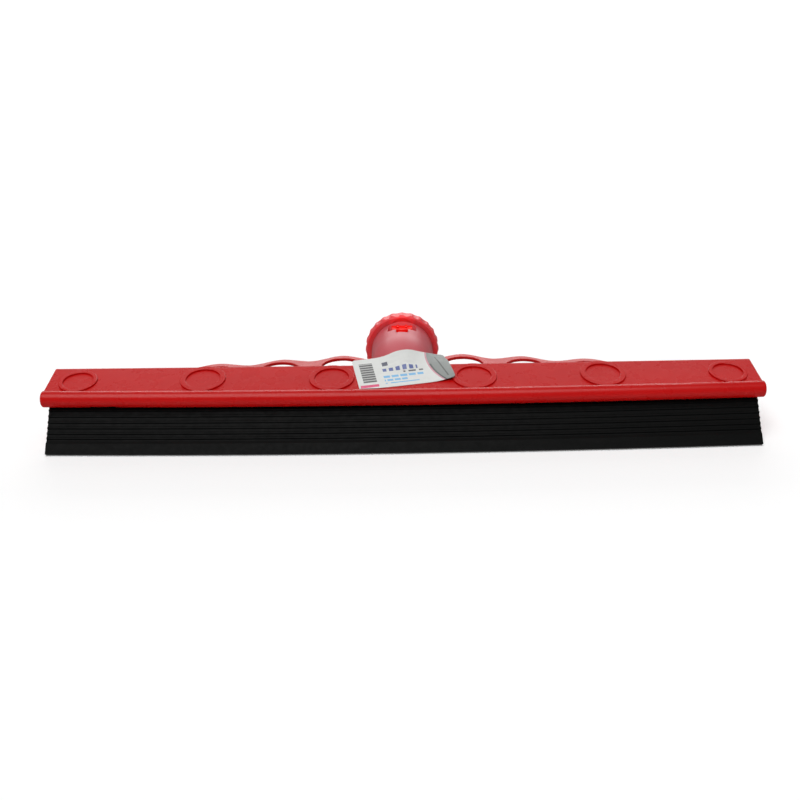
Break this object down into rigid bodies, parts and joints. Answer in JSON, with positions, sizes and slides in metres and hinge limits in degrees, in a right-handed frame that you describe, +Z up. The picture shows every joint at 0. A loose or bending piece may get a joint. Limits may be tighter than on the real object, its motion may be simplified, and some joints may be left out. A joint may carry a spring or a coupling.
{
  "type": "squeegee head",
  "caption": "Squeegee head: a moulded bar clamps a ribbed rubber blade; perforated wings join it to a broom-handle socket with a scalloped lock collar.",
  "frame": {"origin": "under the middle of the bounding box, on the table the head rests on", "axes": "+X along the bar; +Y points back out of the handle socket; +Z up. The rubber edge and the underside of the collar rest on z = 0"},
  "size_m": [0.35, 0.0892, 0.04],
  "materials": {
    "red_plastic": "glossy",
    "red_plastic_frame": "glossy",
    "red_plastic_bush": "glossy",
    "red_plastic_collar": "glossy",
    "red_plastic_strip": "glossy",
    "black_rubber": "satin",
    "zinc_steel": "satin",
    "label_stock": "satin"
  },
  "bodies": {
    "head": {"head_shell": "red_plastic", "wing_deck": "red_plastic_frame", "socket_tube": "red_plastic_frame", "thread_bush": "red_plastic_bush", "clamp_strip": "red_plastic_strip", "rubber_blade": "black_rubber", "clamp_screws": "zinc_steel", "label": "label_stock"},
    "collar": {"lock_collar": "red_plastic_collar"}
  },
  "joints": [
    {"name": "collar_turn", "type": "hinge", "parent": "head", "child": "collar", "pos_m": [0, 0.0412, 0.02], "axis": [0, 1, 0], "continuous": true}
  ]
}
